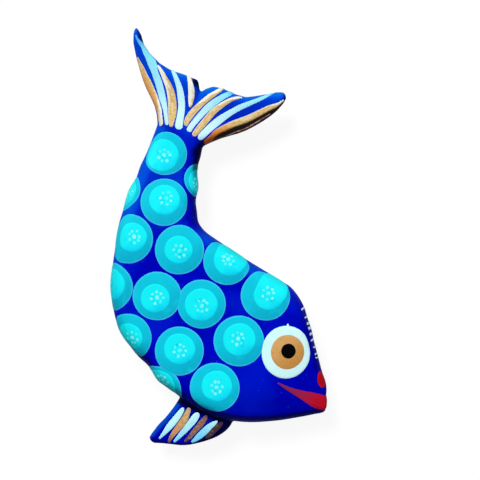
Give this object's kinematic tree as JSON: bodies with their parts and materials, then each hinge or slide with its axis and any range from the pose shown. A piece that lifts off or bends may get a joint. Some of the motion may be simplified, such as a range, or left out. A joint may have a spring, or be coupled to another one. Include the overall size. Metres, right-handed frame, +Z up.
{
  "type": "carved wooden fish ornament",
  "caption": "Carved and painted wooden fish, curved, with a forked tail fin and a small ventral fin pegged and glued on, lying on its side as an ornament.",
  "frame": {"origin": "on the table, under the middle of the fish's bounding box", "axes": "+Z up from the table through the fish's flank, +Y towards the tail, +X towards the forehead and snout"},
  "size_m": [0.065, 0.1253, 0.016],
  "materials": {
    "blue_paint": "satin acrylic paint on carved wood, ultramarine blue",
    "teal_paint": "satin acrylic paint, turquoise",
    "cyan_paint": "satin acrylic paint, bright aqua",
    "pale_paint": "satin acrylic paint, very pale blue",
    "gold_paint": "satin ochre gold acrylic paint",
    "red_paint": "satin acrylic paint, crimson",
    "black_paint": "matt black acrylic paint",
    "bare_wood": "bare whittled wood"
  },
  "bodies": {
    "root": {"body": "blue_paint", "tail_fin": "blue_paint", "ventral_fin": "blue_paint", "tail_peg_1": "bare_wood", "tail_peg_2": "bare_wood", "fin_peg_1": "bare_wood", "fin_peg_2": "bare_wood"}
  },
  "joints": []
}
